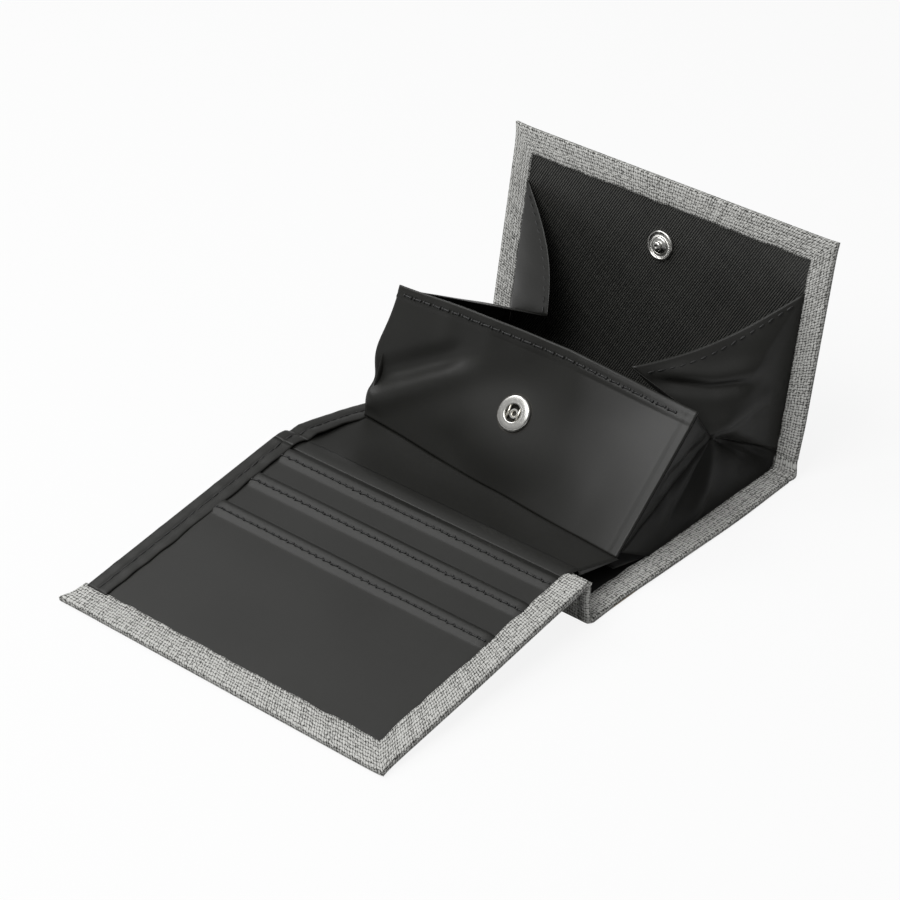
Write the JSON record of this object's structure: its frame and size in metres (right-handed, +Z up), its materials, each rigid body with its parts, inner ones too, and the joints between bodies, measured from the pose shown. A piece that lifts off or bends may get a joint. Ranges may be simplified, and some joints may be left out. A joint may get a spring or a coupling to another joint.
{
  "type": "bifold wallet with snap coin pocket",
  "caption": "Open bifold canvas wallet with card slots, a bill compartment and a box coin pocket whose lid snaps to its front flap.",
  "frame": {"origin": "centre of the underside of the middle panel, which lies flat on the table", "axes": "+Z up, +Y from the spine to the lid, -X is the open side of the bill compartment"},
  "size_m": [0.105, 0.1753, 0.0648],
  "materials": {
    "canvas": "heathered plain weave canvas, matte",
    "nylon": "fine black nylon with a soft sheen",
    "lining": "fine black lining",
    "ribbed_lining": "coarse ribbed black canvas",
    "board": "plain fibre board",
    "nickel": "nickel plated brass",
    "spring_wire": "spring wire",
    "black_thread": "twisted thread",
    "grey_thread": "twisted thread"
  },
  "bodies": {
    "middle_panel": {"base_cover": "canvas", "base_board": "board", "base_lining": "lining", "bill_ramp": "nylon", "bill_floor": "nylon", "base_binding": "nylon", "base_binding_thread": "black_thread", "base_border_thread": "grey_thread", "coin_floor": "nylon", "lid_fold_strip": "canvas", "gusset_right": "nylon", "gusset_left": "nylon"},
    "spine": {"spine_cover": "canvas", "spine_board": "board", "spine_lining": "lining"},
    "card_side": {"card_cover": "canvas", "card_board": "board", "card_lining": "lining", "card_backing": "nylon", "card_pocket_back": "nylon", "card_pocket_middle": "nylon", "card_pocket_front": "nylon", "card_binding": "nylon", "card_border_thread": "grey_thread", "card_binding_thread": "black_thread", "pocket_back_thread": "black_thread", "pocket_middle_thread": "black_thread", "pocket_front_thread": "black_thread"},
    "lid": {"lid_cover": "canvas", "lid_board": "board", "lid_lining": "ribbed_lining", "lid_border_thread": "grey_thread", "stud": "nickel", "stud_rivet": "nickel"},
    "coin_flap": {"coin_flap_front": "nylon", "coin_flap_back": "nylon", "coin_flap_hem": "nylon", "coin_flap_thread": "black_thread", "socket": "nickel", "socket_spring": "spring_wire", "socket_cap": "nickel"}
  },
  "joints": [
    {"name": "spine_fold", "type": "hinge", "parent": "middle_panel", "child": "spine", "pos_m": [0, -0.0417, 0.00089], "axis": [1, 0, 0], "range_deg": [0, 88]},
    {"name": "card_panel_fold", "type": "hinge", "parent": "spine", "child": "card_side", "pos_m": [0, -0.0417, 0.01269], "axis": [-1, 0, 0], "range_deg": [0, 188]},
    {"name": "coin_lid_fold", "type": "hinge", "parent": "middle_panel", "child": "lid", "pos_m": [0, 0.04421, 0.00479], "axis": [1, 0, 0], "range_deg": [0, 98.2], "deforming": ["gusset_right", "gusset_left"]},
    {"name": "coin_flap_fold", "type": "hinge", "parent": "middle_panel", "child": "coin_flap", "pos_m": [0, -0.0226, 0.00615], "axis": [-1, 0, 0], "range_deg": [0, 55.5]}
  ],
  "couplings": [
    {"joint": "coin_flap_fold", "follows": "coin_lid_fold", "ratio": 0.5651},
    {"joint": "card_panel_fold", "follows": "coin_lid_fold", "ratio": 1.9144}
  ]
}
